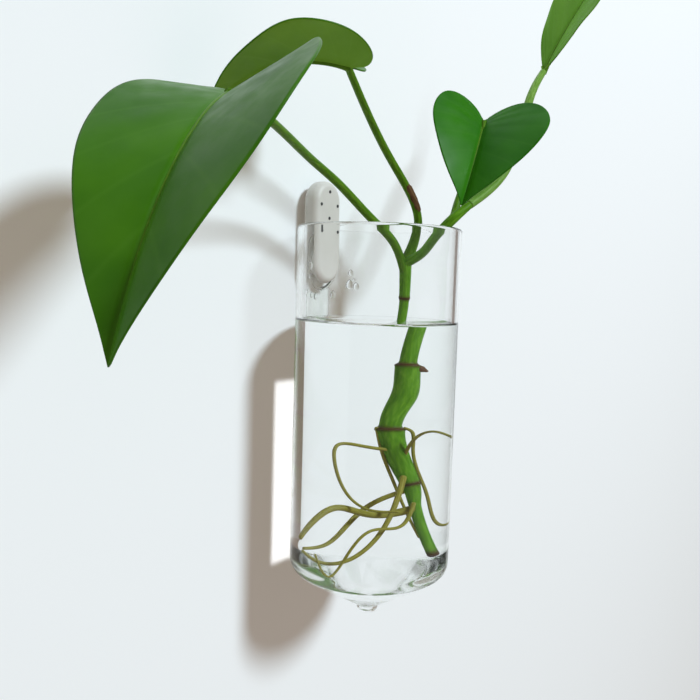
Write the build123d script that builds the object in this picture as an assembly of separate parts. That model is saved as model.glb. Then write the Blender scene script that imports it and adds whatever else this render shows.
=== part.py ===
from build123d import *
import math
import os

# A wall-hung glass propagation vase: an adhesive plate with a peg hook, a glass tube that
# hangs on the peg by a hole in its back, and a rooted cutting that lifts out of the tube.
# Millimetres. The wall is the plane y = 0, the vase is on the -Y side and +Z is up.
# The origin is the middle of the adhesive pad's back face.

# Wall plate and adhesive pad
PLATE_W = 17.0
PLATE_H = 40.0
PLATE_T = 1.2
PLATE_CORNER = 7.0
PLATE_EDGE = 0.5
PAD_T = 0.8
PAD_INSET = 1.0

# Glass tube, a solid of revolution about a vertical axis
TUBE_R = 30.0
WALL = 2.2
BACK_GAP = 0.7
RIM_ABOVE_PLATE = 2.0
TUBE_STRAIGHT = 126.6
CONE_SLOPE = math.radians(31.0)
SHOULDER_OUT = 6.0
SHOULDER_IN = 5.0
FLOOR_R = 3.0
NUB_R = 4.3
NUB_H = 3.0
RIM_ROUND = 1.0
HOLE_R = 8.0
HOLE_DROP = 15.3
HOLE_ROUND = 0.9

# Peg hook: round arm from the plate through the hole, tongue up the inside of the tube, and a
# thicker knob where the tongue is past the rim
ARM_R = 5.5
ARM_PLAY = 0.15
TONGUE_PASS = 0.5
TONGUE_T = 3.0
TONGUE_ABOVE_RIM = 17.9
TONGUE_BELOW_RIM = 21.0
TONGUE_CLEAR = 1.1
KNOB_PAST_GLASS = 0.9
KNOB_OVER_RIM = 0.8
KNOB_ROUND = 2.6
DOT_R = 0.6
DOT_SINK = 0.4
DOT_PROUD = 0.15
DOT_PITCH_X = 4.9
DOT_PITCH_Z = 5.0
DOT_TOP_DROP = 4.0

# Cutting: sizes of the soft parts
STEM_END_R = 1.1
STEM_LOW_R = 2.2
STEM_WIDE_R = 3.6
STEM_MID_R = 2.7
STEM_TOP_R = 2.0
NODE_LOW_R = 2.5
NODE_MID_R = 3.9
NODE_TOP_R = 3.1
RING_R = 2.4
FORK_R = 2.6
PETIOLE_R = 1.6
SHOOT_R = 1.9
THIN_PETIOLE_R = 1.3
ROOT_R = 0.8
ROOT_MAIN_R = 1.3
ROOT_FINE_R = 0.55
BUD_R = 1.5
BUD_TIP_R = 0.5
SHEATH_W = 4.4
SHEATH_RUN = 0.85
SHEATH_T = 1.0
DRY_SHEATH_L = 11.0
DRY_SHEATH_T = 0.5
BLADE_T = 0.7
REST_GAP = 0.3

# Bends of the soft parts
PETIOLE_BEND = 60.0
ROOT_BEND = 12.0

# Shares of a blade's length: top of its arch, reach of the lobes behind its base
ARCH_TOP = 0.45
LOBE_REACH = 0.16

# Placed by the middle of the top face
LOW_ALIGN = (Align.CENTER, Align.CENTER, Align.MAX)

# Levels and planes that follow from the sizes above
PLATE_FRONT = -(PAD_T + PLATE_T)
TUBE_BACK = PLATE_FRONT - BACK_GAP
AXIS_Y = TUBE_BACK - TUBE_R
INNER_R = TUBE_R - WALL
RIM_Z = PLATE_H / 2 + RIM_ABOVE_PLATE
HOLE_Z = RIM_Z - HOLE_DROP
ARM_Z = HOLE_Z + HOLE_R - ARM_PLAY - ARM_R
TONGUE_W = 2 * HOLE_R - TONGUE_PASS
TONGUE_BACK = TUBE_BACK - WALL - TONGUE_CLEAR
TONGUE_FRONT = TONGUE_BACK - TONGUE_T
TONGUE_TOP = RIM_Z + TONGUE_ABOVE_RIM
TONGUE_END = RIM_Z - TONGUE_BELOW_RIM
KNOB_BACK = TUBE_BACK + KNOB_PAST_GLASS
KNOB_LOW = RIM_Z + KNOB_OVER_RIM
CORNER_Z = RIM_Z - TUBE_STRAIGHT
SLOPE = math.tan(CONE_SLOPE)
INNER_CORNER_Z = CORNER_Z - WALL * SLOPE + WALL / math.cos(CONE_SLOPE)


def in_water(across, back, height):
    """A point in the tube: shares of its inner radius from its axis, height over its shoulder."""
    return (across * INNER_R, AXIS_Y + back * INNER_R, CORNER_Z + height)


def at_mouth(across, back, height):
    """A point near the rim: shares of the inner radius from the tube's axis, height from the rim."""
    return (across * INNER_R, AXIS_Y + back * INNER_R, RIM_Z + height)


def beyond(x, back, height):
    """A point outside the tube, measured from its axis and its rim."""
    return (x, AXIS_Y + back, RIM_Z + height)


def against_wall(radius, angle, height):
    """Centre of a ball that leans on the inside of the glass, at an angle about the tube's axis."""
    reach = INNER_R - radius - REST_GAP
    turn = math.radians(angle)
    return (reach * math.cos(turn), AXIS_Y + reach * math.sin(turn), RIM_Z + height)


def on_floor(radius, across, back):
    """Centre of a ball that stands on the tube's conical floor."""
    from_axis = INNER_R * math.hypot(across, back)
    floor = INNER_CORNER_Z - (INNER_R - from_axis) * SLOPE
    height = floor - CORNER_Z + (radius + REST_GAP) / math.cos(CONE_SLOPE)
    return in_water(across, back, height)


# Cutting: the cut end stands on the floor and the ring leans on the glass
CUT_END = on_floor(STEM_END_R, 0.73, -0.104)
NODE_LOW = in_water(0.723, 0.097, 29.6)
NODE_MID = in_water(0.619, 0.248, 50.6)
NODE_TOP = in_water(0.752, 0.183, 74.6)
WATERLINE = at_mouth(0.863, 0.162, -35.0)
STEM_RING = against_wall(RING_R, 9.0, -26.0)
FORK = at_mouth(0.838, 0.112, -12.1)
BUD_REACH = (2.6, -3.8, -2.6)

LEFT_BASE = beyond(-98.8, -22.6, 25.6)
TOP_BASE = beyond(-36.4, -11.1, 47.6)
RIGHT_BASE = beyond(38.7, -20.1, 42.8)
YOUNG_BASE = beyond(82.3, -24.1, 70.7)
SHOOT_OVER_RIM = at_mouth(0.619, -0.748, 4.2)
SHOOT_END = at_mouth(0.809, -0.874, 9.5)
SHEATH_END = beyond(44.4, -28.1, 25.5)
SHEATH_FACE = (-0.78, -0.55, 0.30)
DRY_SHEATH_FACE = (0.6, -0.8, 0.0)

LEFT_PATH = [FORK, at_mouth(0.601, 0.147, -5.5), beyond(2.0, 4.5, 2.9), beyond(-20.2, 3.2, 13.2),
             beyond(-40.2, -0.6, 18.8), beyond(-73.1, -13.0, 24.1), LEFT_BASE]
TOP_PATH = [FORK, at_mouth(0.867, -0.043, 4.6), beyond(3.8, -1.4, 24.7), TOP_BASE]
SHOOT_PATH = [FORK, at_mouth(0.73, -0.23, -8.3), at_mouth(0.583, -0.514, -2.5), SHOOT_OVER_RIM,
              SHOOT_END]
RIGHT_PATH = [SHOOT_OVER_RIM, beyond(24.7, -19.7, 15.5), beyond(35.1, -21.6, 35.3), RIGHT_BASE]
YOUNG_PATH = [SHOOT_END, SHEATH_END, beyond(65.9, -25.9, 55.3), YOUNG_BASE]

# Roots: each starts inside the stem and hangs in the water
ROOTS = {
    "root_main": (ROOT_MAIN_R, [
        in_water(0.727, 0.036, 20.3), in_water(0.511, 0.147, 18.7), in_water(0.198, 0.219, 20.0),
        in_water(-0.126, 0.306, 22.9), in_water(-0.403, 0.385, 19.7), in_water(-0.694, 0.493, 11.9)]),
    "root_loop": (ROOT_R, [
        in_water(0.662, 0.187, 42.0), in_water(0.277, 0.295, 44.6), in_water(-0.011, 0.396, 45.5),
        in_water(-0.104, 0.371, 39.4), in_water(-0.04, 0.248, 27.7), in_water(0.036, 0.04, 22.9),
        in_water(0.201, -0.212, 22.6)]),
    "root_deep": (ROOT_R, [
        in_water(0.698, 0.133, 34.6), in_water(0.486, 0.022, 27.3), in_water(0.165, -0.022, 14.2),
        in_water(-0.255, 0.079, 5.2), in_water(-0.522, 0.27, 4.3), in_water(-0.712, 0.446, 8.4)]),
    "root_back": (ROOT_R, [
        in_water(0.723, 0.097, 27.4), in_water(0.486, 0.327, 21.8), in_water(0.158, 0.406, 13.0),
        in_water(-0.079, 0.46, 7.6), in_water(-0.374, 0.561, 6.5)]),
    "root_fine": (ROOT_FINE_R, [
        in_water(0.727, 0.047, 23.6), in_water(0.353, -0.112, 15.9), in_water(-0.158, -0.133, 16.8),
        in_water(-0.399, -0.022, 9.4), in_water(-0.604, 0.108, 0.4), in_water(-0.741, 0.234, 8.8)]),
    "root_right": (ROOT_FINE_R, [
        in_water(0.683, 0.155, 38.0), in_water(0.615, -0.036, 47.6), in_water(0.637, -0.216, 50.7),
        in_water(0.665, -0.45, 48.2)]),
}

# Half outlines of a blade as shares of its width and length, from the base to the tip
HEART = [(0, 0), (0.09, -0.10), (0.25, -0.14), (0.42, -0.03), (0.5, 0.18), (0.47, 0.40),
         (0.35, 0.63), (0.19, 0.82), (0.07, 0.93), (0, 1)]
LANCE = [(0, 0), (0.10, 0.05), (0.27, 0.16), (0.43, 0.32), (0.5, 0.47), (0.46, 0.64),
         (0.32, 0.81), (0.14, 0.94), (0, 1)]

# Leaves: size, arch radius along the blade, cup radius across it, fold of each half in degrees,
# and the directions of the tip and of the upper face
LEAVES = {
    "leaf_left": dict(outline=HEART, length=78.0, width=49.0, arch=67.2, cup=4350.0, folds=(41, -5),
                      base=LEFT_BASE, tip=(-0.608, -0.206, -0.767), face=(-0.586, -0.535, 0.609)),
    "leaf_top": dict(outline=HEART, length=49.1, width=38.6, arch=40.1, cup=604.0, folds=(29, 17),
                     base=TOP_BASE, tip=(-0.636, 0.699, -0.326), face=(-0.381, 0.083, 0.921)),
    "leaf_right": dict(outline=HEART, length=39.6, width=40.8, arch=79.8, cup=94.0, folds=(45, 30),
                       base=RIGHT_BASE, tip=(-0.541, -0.107, -0.834), face=(-0.619, -0.62, 0.481)),
    "leaf_young": dict(outline=LANCE, length=63.2, width=28.0, arch=166.0, cup=236.0, folds=(14, 18),
                       base=YOUNG_BASE, tip=(0.232, -0.452, 0.861), face=(-0.881, 0.277, 0.383)),
}


def along_y(radius, y_from, y_to, z, x=0.0):
    """A round bar between two planes of constant y."""
    middle = (x, (y_from + y_to) / 2, z)
    return Pos(*middle) * Rot(90, 0, 0) * Cylinder(radius, abs(y_to - y_from))


def rounded_slab(width, height, corner, y_back, thickness):
    """A plate with rounded corners, parallel to the wall."""
    face = Plane((0, y_back, 0), x_dir=(1, 0, 0), z_dir=(0, -1, 0))
    return extrude(face * RectangleRounded(width, height, corner), thickness)


def corner_radii(points, largest):
    """A bend radius for every inner corner that fits the runs on both sides of it."""
    spots = [Vector(*p) for p in points]
    radii = []
    for before, corner, after in zip(spots, spots[1:], spots[2:]):
        run_in = corner - before
        run_out = after - corner
        half_turn = math.radians(run_in.get_angle(run_out)) / 2
        room = 0.46 * min(run_in.length, run_out.length)
        radii.append(min(largest, room / math.tan(half_turn)))
    return radii


def tube(points, radius, bend=PETIOLE_BEND, round_tip=False):
    """A round tube along straight runs joined by tangent bends."""
    if len(points) == 2:
        path = Line(*points)
    else:
        path = FilletPolyline(*points, radius=corner_radii(points, bend))
    section = Plane(path @ 0, z_dir=path % 0) * Circle(radius)
    solid = sweep(section, path=path)
    if round_tip:
        solid += Pos(*points[-1]) * Sphere(radius)
    return solid


def taper(start, end, start_radius, end_radius):
    """A round bar between two points, with a radius for each end."""
    run = Vector(*end) - Vector(*start)
    plane = Plane(Vector(*start) + run * 0.5, z_dir=run)
    if start_radius == end_radius:
        return plane * Cylinder(start_radius, run.length)
    return plane * Cone(start_radius, end_radius, run.length)


def blade_profile(half_width, folds, cup):
    """Cross-section of a blade: two arms that rise from the midrib, drawn with their thickness."""
    edges = []
    for side, fold in zip((-1, 1), folds):
        lift = math.tan(math.radians(fold))
        rises = [x * lift - x * x / (2 * cup) for x in (half_width / 2, half_width)]
        middle = (side * half_width / 2, rises[0])
        end = (side * half_width, rises[1])
        lower_middle = (middle[0], middle[1] - BLADE_T)
        lower_end = (end[0], end[1] - BLADE_T)
        edges.append(ThreePointArc((0, 0), middle, end))
        edges.append(Line(end, lower_end))
        edges.append(ThreePointArc(lower_end, lower_middle, (0, -BLADE_T)))
    return make_face(edges)


def blade(outline, length, width, arch, cup, folds):
    """A folded, arched leaf blade with its base at the origin, tip to +Y and upper face to +Z.

    The cross-section is turned about the arch's axis into a band, and the outline cuts it.
    """
    top = ARCH_TOP * length
    drop = math.sqrt(arch ** 2 - top ** 2)
    axis = Axis((0, top, -drop), (1, 0, 0))
    plane = Plane((0, top, arch - drop), x_dir=(1, 0, 0), z_dir=(0, -1, 0))
    past_edge = 0.53 * width
    past_end = 4.0
    profile = plane * blade_profile(past_edge, folds, cup)
    to_tip = math.degrees(math.asin((length - top) / arch)) + past_end
    to_base = math.degrees(math.asin((LOBE_REACH * length + top) / arch)) + past_end
    band = revolve(profile.rotate(axis, -to_tip), axis, to_tip + to_base)
    right = Spline(*[(x * width, y * length) for x, y in outline])
    left = Spline(*[(-x * width, y * length) for x, y in outline])
    prism = extrude(make_face([right, left]), width + length, both=True)
    return band & prism


def make_leaf(base, tip, face, **shape):
    """A blade at its base point, with its tip and upper face turned to the two directions."""
    toward = Vector(*tip).normalized()
    across = toward.cross(Vector(*face)).normalized()
    return Plane(base, x_dir=across, z_dir=across.cross(toward)) * blade(**shape)


def make_adhesive_pad():
    """The adhesive layer between the wall and the plate."""
    width = PLATE_W - 2 * PAD_INSET
    height = PLATE_H - 2 * PAD_INSET
    return rounded_slab(width, height, PLATE_CORNER - PAD_INSET, 0, PAD_T)


def make_mount_plate():
    """The clear plate, with its front edge softened."""
    plate = rounded_slab(PLATE_W, PLATE_H, PLATE_CORNER, -PAD_T, PLATE_T)
    return fillet(plate.faces().sort_by(Axis.Y)[0].edges(), PLATE_EDGE)


def dot_spots():
    """Places of the printed dots on the tongue: rows of one and two in turn."""
    top = TONGUE_TOP - DOT_TOP_DROP
    rows = [(0,), (-1, 1), (0,), (-1, 1)]
    return [(i * DOT_PITCH_X, top - k * DOT_PITCH_Z) for k, row in enumerate(rows) for i in row]


def make_spine_dots():
    """The dots, sunk into shallow pockets of the tongue."""
    y_in = TONGUE_FRONT + DOT_SINK
    y_out = TONGUE_FRONT - DOT_PROUD
    return [along_y(DOT_R, y_in, y_out, z, x) for x, z in dot_spots()]


def make_hook_peg(dots):
    """The peg: arm, tongue and knob in one moulding, with pockets for the dots.

    A thick rounded tongue is cut back below the knob, parallel to the curved wall of the glass.
    """
    height = TONGUE_TOP - TONGUE_END
    depth = KNOB_BACK - TONGUE_FRONT
    face = Plane((0, KNOB_BACK, TONGUE_TOP - height / 2), x_dir=(1, 0, 0), z_dir=(0, -1, 0))
    peg = extrude(face * SlotOverall(height, TONGUE_W, rotation=90), depth)
    peg = fillet(peg.edges(), min(KNOB_ROUND, 0.45 * depth))
    room = Pos(0, AXIS_Y, KNOB_LOW) * Box(TUBE_R, 3 * TUBE_R, 2 * height, align=LOW_ALIGN)
    room -= Pos(0, AXIS_Y, KNOB_LOW) * Cylinder(INNER_R - TONGUE_CLEAR, 3 * height, align=LOW_ALIGN)
    peg -= room
    peg += along_y(ARM_R, PLATE_FRONT, TONGUE_BACK - TONGUE_T / 2, ARM_Z)
    for dot in dots:
        peg -= dot
    return peg


def make_glass_tube():
    """The tube: straight wall, rounded shoulder, conical floor with a nub, and the back hole."""
    floor_z = INNER_CORNER_Z - (INNER_R - FLOOR_R) * SLOPE
    nub_z = CORNER_Z - (TUBE_R - NUB_R) * SLOPE
    rim_round = min(RIM_ROUND, 0.48 * WALL)
    chain = [(0, floor_z), (FLOOR_R, floor_z), (INNER_R, INNER_CORNER_Z), (INNER_R, RIM_Z),
             (TUBE_R, RIM_Z), (TUBE_R, CORNER_Z), (NUB_R, nub_z)]
    wall = FilletPolyline(*chain, radius=[FLOOR_R, SHOULDER_IN, rim_round, rim_round, SHOULDER_OUT])
    ball = (NUB_R ** 2 + NUB_H ** 2) / (2 * NUB_H)
    half_angle = math.asin(NUB_R / ball) / 2
    tip_z = nub_z - NUB_H
    bulge = (ball * math.sin(half_angle), tip_z + ball * (1 - math.cos(half_angle)))
    nub = ThreePointArc((NUB_R, nub_z), bulge, (0, tip_z))
    spine = Line((0, tip_z), (0, floor_z))
    section = Plane((0, AXIS_Y, 0), x_dir=(1, 0, 0), z_dir=(0, -1, 0)) * make_face([wall, nub, spine])
    glass = revolve(section, Axis((0, AXIS_Y, 0), (0, 0, 1)))
    glass -= along_y(HOLE_R, AXIS_Y + INNER_R / 2, TUBE_BACK + WALL, HOLE_Z)
    loops = [e for e in glass.edges() if abs(e.center().Z - HOLE_Z) < 1 and e.length > 4 * HOLE_R]
    lip = [e for e in loops if e.bounding_box().size.Z < 3 * HOLE_R]
    return fillet(lip, min(HOLE_ROUND, 0.45 * WALL))


def make_main_stem():
    """The stem: each length widens upwards to the node that it ends in."""
    stem = taper(CUT_END, NODE_LOW, STEM_END_R, STEM_LOW_R)
    stem += taper(NODE_LOW, NODE_MID, STEM_LOW_R, STEM_WIDE_R)
    stem += taper(NODE_MID, NODE_TOP, STEM_MID_R, STEM_MID_R)
    stem += tube([NODE_TOP, WATERLINE, STEM_RING, FORK], STEM_TOP_R)
    knots = {CUT_END: STEM_END_R, NODE_LOW: NODE_LOW_R, NODE_MID: NODE_MID_R, NODE_TOP: NODE_TOP_R,
             STEM_RING: RING_R, FORK: FORK_R}
    for spot, radius in knots.items():
        stem += Pos(*spot) * Sphere(radius)
    return stem


def make_root_bud():
    """The dry root bud on the upper node."""
    reach = Vector(*BUD_REACH)
    plane = Plane(Vector(*NODE_TOP) + reach * 0.5, z_dir=reach)
    return plane * Cone(BUD_R, BUD_TIP_R, reach.length)


def make_sheath():
    """The wing beside the young leaf's petiole: half a thin lens, straight side in the petiole."""
    start = Vector(*SHOOT_END)
    run = (Vector(*SHEATH_END) - start) * SHEATH_RUN
    across = Vector(*SHEATH_FACE).cross(run).normalized()
    plane = Plane(start, x_dir=run, z_dir=run.cross(across))
    chord = Line((0, 0), (run.length, 0))
    edge = ThreePointArc((0, 0), (run.length / 2, SHEATH_W), (run.length, 0))
    return extrude(plane * make_face([chord, edge]), SHEATH_T / 2, both=True)


def make_dry_sheath():
    """The dried sheath: half a thin shell round the top petiole."""
    start = Vector(*TOP_PATH[1])
    run = Vector(*TOP_PATH[2]) - start
    plane = Plane(start + run * 0.34, x_dir=DRY_SHEATH_FACE, z_dir=run)
    outer = PETIOLE_R + DRY_SHEATH_T
    front_half = plane * Pos(outer, 0, 0) * Box(2 * outer, 3 * outer, DRY_SHEATH_L)
    return plane * Cylinder(outer, DRY_SHEATH_L) & front_half


def build():
    """Make every piece and cut the joins so that neighbours meet face to face."""
    parts = {}
    dots = make_spine_dots()
    parts["adhesive_pad"] = make_adhesive_pad()
    parts["mount_plate"] = make_mount_plate()
    parts["hook_peg"] = make_hook_peg(dots)
    parts["spine_dots"] = Compound(children=dots)
    parts["glass_tube"] = make_glass_tube()

    stem = make_main_stem()
    shoot = tube(SHOOT_PATH, SHOOT_R) - stem
    left = tube(LEFT_PATH, PETIOLE_R) - stem - shoot
    top = tube(TOP_PATH, PETIOLE_R) - stem - shoot - left
    right = tube(RIGHT_PATH, THIN_PETIOLE_R) - shoot
    young = tube(YOUNG_PATH, THIN_PETIOLE_R) - shoot - right
    parts["main_stem"] = stem
    parts["shoot_stem"] = shoot
    parts["petiole_left"] = left
    parts["petiole_top"] = top
    parts["petiole_right"] = right
    parts["petiole_young"] = young
    parts["sheath_green"] = make_sheath() - young - shoot - right
    parts["sheath_dry"] = make_dry_sheath() - top
    parts["root_bud"] = make_root_bud() - stem

    stalks = {"leaf_left": left, "leaf_top": top, "leaf_right": right, "leaf_young": young}
    for name, stalk in stalks.items():
        parts[name] = make_leaf(**LEAVES[name]) - stalk
    for name, (radius, points) in ROOTS.items():
        parts[name] = tube(points, radius, bend=ROOT_BEND, round_tip=True) - stem
    return parts


os.makedirs("parts", exist_ok=True)
for node, shape in build().items():
    export_step(shape, f"parts/{node}.step")
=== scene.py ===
import math

import bmesh
import bpy
import numpy as np
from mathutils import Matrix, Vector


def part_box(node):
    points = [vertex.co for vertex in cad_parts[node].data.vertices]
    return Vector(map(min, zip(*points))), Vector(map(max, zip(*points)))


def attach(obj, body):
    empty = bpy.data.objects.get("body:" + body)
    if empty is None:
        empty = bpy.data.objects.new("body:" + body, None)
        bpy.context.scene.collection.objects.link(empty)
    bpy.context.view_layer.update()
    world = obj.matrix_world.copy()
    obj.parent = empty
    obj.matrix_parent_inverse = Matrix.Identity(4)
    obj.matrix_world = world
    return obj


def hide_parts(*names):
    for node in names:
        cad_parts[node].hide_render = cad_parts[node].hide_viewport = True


# A wall-hung glass propagation vase with a rooted cutting. Points and sizes below are in
# millimetres in the part's frame: the wall is y = 0, the vase is on the -Y side, +Z is up.
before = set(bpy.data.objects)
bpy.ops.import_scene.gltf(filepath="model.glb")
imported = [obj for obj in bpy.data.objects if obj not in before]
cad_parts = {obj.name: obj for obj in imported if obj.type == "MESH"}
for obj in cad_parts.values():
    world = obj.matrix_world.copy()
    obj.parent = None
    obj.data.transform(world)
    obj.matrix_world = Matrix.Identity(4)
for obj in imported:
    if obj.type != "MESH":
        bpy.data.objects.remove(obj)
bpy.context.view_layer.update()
MM = 0.001

# Points of a mesh that are closer than this are joined
WELD = 1e-4


def node_box(name):
    """Lowest and highest corner of a CAD node, in millimetres."""
    low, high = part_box(name)
    return np.array(low) / MM, np.array(high) / MM


GLASS_LOW, GLASS_HIGH = node_box("glass_tube")
TUBE_R = (GLASS_HIGH[0] - GLASS_LOW[0]) / 2
AXIS_Y = (GLASS_HIGH[1] + GLASS_LOW[1]) / 2
RIM_Z = GLASS_HIGH[2]
NUB_TIP_Z = GLASS_LOW[2]

# Glass tube: wall, conical foot with its nub, rounded shoulders, inner floor and rim
WALL = 2.2
INNER_R = TUBE_R - WALL
CONE_SLOPE = math.tan(math.radians(31.0))
NUB_R = 4.3
NUB_H = 3.0
NUB_NECK = 1.2
NUB_TIP_IN = 0.6
NUB_TIP_RISE = 0.25
NUB_TIP_ROUND = 2.2
CORNER_Z = NUB_TIP_Z + NUB_H + (TUBE_R - NUB_R) * CONE_SLOPE
INNER_CORNER_Z = CORNER_Z - WALL * CONE_SLOPE + WALL * math.hypot(1, CONE_SLOPE)
SHOULDER_OUT = 6.0
SHOULDER_IN = 5.0
FLOOR_ROUND = 6.0
FLOOR_R = 0.5 * FLOOR_ROUND
FLOOR_Z = INNER_CORNER_Z - (INNER_R - FLOOR_R) * CONE_SLOPE
RIM_ROUND = 0.48 * WALL
RIM_CELLS = 8
WALL_ROWS = 24
ROUND_CELLS = 112

# Hole in the back of the tube: its polished lip, and the square of wall that is rebuilt round it
HOLE_R = 8.0
HOLE_Z = RIM_Z - 15.3
LIP = 0.9
LIP_CELLS = 10
PATCH = 12.6
PATCH_CELLS = 24
PATCH_RINGS = 13

# Water: its level, the rise of its edge at the glass, and how far it reaches into the glass
WATER_Z = RIM_Z - 35.0
MENISCUS = 1.3
MENISCUS_FADE = 1.6
WATER_BITE = 0.08
WATER_RINGS = 60
WATER_CELLS = 128

# Drops on the glass round the hole: angle from the back in degrees, height from the rim, half size
DROPS = [(31, -16.6, 1.1), (30, -21.2, 1.6), (36, -21.9, 1.3), (34, -19.2, 0.6), (-31, -24.2, 1.0),
         (-15, -25.4, 1.0), (-8, -26.0, 1.1), (-23, -24.0, 0.8), (-21, -14.4, 1.5), (-22, -18.6, 0.7),
         (14, -25.2, 1.2)]
DROP_TALL = 1.2
DROP_DEPTH = 0.8
DROP_OUT = 0.2
DROP_HANG = 0.3
DROP_RINGS = 15
DROP_CELLS = 24

# Bead of water in the hole's lip: from one angle round the hole to another
BEAD_FROM = math.radians(-165.0)
BEAD_TO = math.radians(-15.0)
BEAD_R = 0.75
BEAD_INSET = 0.1
BEAD_SUNK = 0.5
BEAD_TIP = 0.15
BEAD_RINGS = 90
BEAD_SIDES = 16

# Camera: place, lens in pixels of the 700-pixel frame, and turn
IMAGE_PX = 700
FOCAL_PX = 780
CAMERA_AT = (-236.4, -198.2, 3.0)
HEADING = math.radians(53.12)
PITCH = math.radians(5.21)
ROLL = math.radians(1.765)
SENSOR_W = 36.0
NEAR_CLIP = 10.0

# Leaf outlines from the stalk to the tip: shares of the width and of the length
HEART = [(0, 0), (0.09, -0.10), (0.25, -0.14), (0.42, -0.03), (0.5, 0.18), (0.47, 0.40),
         (0.35, 0.63), (0.19, 0.82), (0.07, 0.93), (0, 1)]
LANCE = [(0, 0), (0.10, 0.05), (0.27, 0.16), (0.43, 0.32), (0.5, 0.47), (0.46, 0.64),
         (0.32, 0.81), (0.14, 0.94), (0, 1)]

# Blades: where along the length the arch is highest, thickness, grid, side veins, and relief
ARCH_TOP = 0.45
BLADE_T = 0.5
BLADE_ROWS = 150
BLADE_COLUMNS = 81
VEINS = 9
VEIN_SPREAD = 0.85
VEIN_SAG = 0.13
GROOVE_D = 0.45
GROOVE_W = 0.8
SWELL = 0.12
MARGIN_WAVES = 19
MARGIN_SHIFT = 2.0

# Midrib: start before the base, end as a share of the length, depth, and radii at shares of the length
MIDRIB_BEFORE = 0.4
MIDRIB_REACH = 0.96
MIDRIB_SUNK = 0.75
MIDRIB_AT = (0, 0.05, 1)
MIDRIB_R = (1.0, 0.8, 0.15)
MIDRIB_RINGS = 160
MIDRIB_SIDES = 16


def in_water(across, back, height):
    """A point in the tube: shares of its inner radius from its axis, height over its shoulder."""
    return (across * INNER_R, AXIS_Y + back * INNER_R, CORNER_Z + height)


def at_mouth(across, back, height):
    """A point near the rim: shares of the inner radius from the tube's axis, height from the rim."""
    return (across * INNER_R, AXIS_Y + back * INNER_R, RIM_Z + height)


def beyond(x, back, height):
    """A point outside the tube, measured from its axis and its rim."""
    return (x, AXIS_Y + back, RIM_Z + height)


# Leaves: outline, size, arch radius along the blade, cup radius across it, fold of each half in
# degrees, base point, directions of the tip and of the upper face, wave of the margin, upper finish
LEFT_BASE = beyond(-98.8, -22.6, 25.6)
TOP_BASE = beyond(-36.4, -11.1, 47.6)
RIGHT_BASE = beyond(38.7, -20.1, 42.8)
YOUNG_BASE = beyond(82.3, -24.1, 70.7)
LEAVES = {
    "leaf_left": dict(outline=HEART, length=78.0, width=49.0, arch=67.2, cup=4350.0, folds=(41, -5),
                      base=LEFT_BASE, tip=(-0.608, -0.206, -0.767), face=(-0.586, -0.535, 0.609),
                      wave=0.5, upper="leaf_upper"),
    "leaf_top": dict(outline=HEART, length=49.1, width=38.6, arch=40.1, cup=604.0, folds=(29, 17),
                     base=TOP_BASE, tip=(-0.636, 0.699, -0.326), face=(-0.381, 0.083, 0.921),
                     wave=0.3, upper="leaf_upper"),
    "leaf_right": dict(outline=HEART, length=39.6, width=40.8, arch=79.8, cup=94.0, folds=(45, 30),
                       base=RIGHT_BASE, tip=(-0.541, -0.107, -0.834), face=(-0.619, -0.62, 0.481),
                       wave=0.4, upper="leaf_upper_right"),
    "leaf_young": dict(outline=LANCE, length=63.2, width=28.0, arch=166.0, cup=236.0, folds=(14, 18),
                       base=YOUNG_BASE, tip=(0.232, -0.452, 0.861), face=(-0.881, 0.277, 0.383),
                       wave=0.5, upper="leaf_upper_young"),
}

# Stem and stalks: places along each, with the radius there, or a pair of radii where it steps
CUT_END = in_water(0.752, -0.13, 1.6)
NODE_LOW = in_water(0.723, 0.097, 29.6)
NODE_MID = in_water(0.619, 0.248, 50.6)
NODE_TOP = in_water(0.752, 0.183, 74.6)
WATERLINE = at_mouth(0.863, 0.162, -35.0)
STEM_RING = at_mouth(0.888, 0.141, -26.0)
FORK = at_mouth(0.838, 0.112, -12.1)
LEFT_NODE = at_mouth(0.85, 0.122, -17.0)
SHOOT_OVER_RIM = at_mouth(0.619, -0.748, 4.2)
SHOOT_END = at_mouth(0.809, -0.874, 9.5)
SHEATH_END = beyond(44.4, -28.1, 25.5)
WAIST = in_water(0.725, 0.04, 21.0)
BELLY = in_water(0.725, 0.19, 63.0)
MAIN_STEM = [(FORK, 2.5), (STEM_RING, (2.2, 2.0)), (WATERLINE, 1.9), (NODE_TOP, (2.1, 3.0)), (BELLY, 3.2),
             (NODE_MID, (2.8, 3.7)), (NODE_LOW, (2.4, 2.2)), (WAIST, 1.4), (CUT_END, 1.1)]
STALKS = {
    "petiole_left": [(LEFT_NODE, 1.7), (at_mouth(0.601, 0.147, -5.5), 1.7), (beyond(2.0, 4.5, 2.9), 1.6),
                     (beyond(-20.2, 3.2, 13.2), 1.5), (beyond(-40.2, -0.6, 18.8), 1.4),
                     (beyond(-73.1, -13.0, 24.1), 1.3), (LEFT_BASE, 1.15)],
    "petiole_top": [(FORK, 2.4), (at_mouth(0.867, -0.043, 4.6), 1.6), (beyond(3.8, -1.4, 24.7), 1.45),
                    (TOP_BASE, 1.2)],
    "shoot_stem": [(FORK, 2.0), (at_mouth(0.73, -0.23, -8.3), 1.8), (at_mouth(0.583, -0.514, -2.5), 1.8),
                   (SHOOT_OVER_RIM, 1.9), (SHOOT_END, 1.5)],
    "petiole_right": [(SHOOT_OVER_RIM, 1.5), (beyond(24.7, -19.7, 15.5), 1.3),
                      (beyond(35.1, -21.6, 35.3), 1.2), (RIGHT_BASE, 1.1)],
    "petiole_young": [(SHOOT_END, 1.6), (SHEATH_END, 1.6), (beyond(65.9, -25.9, 55.3), 1.7),
                      (YOUNG_BASE, 1.4)],
}
STALK_FINISH = {"petiole_young": "stalk_young", "shoot_stem": "stem"}

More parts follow.
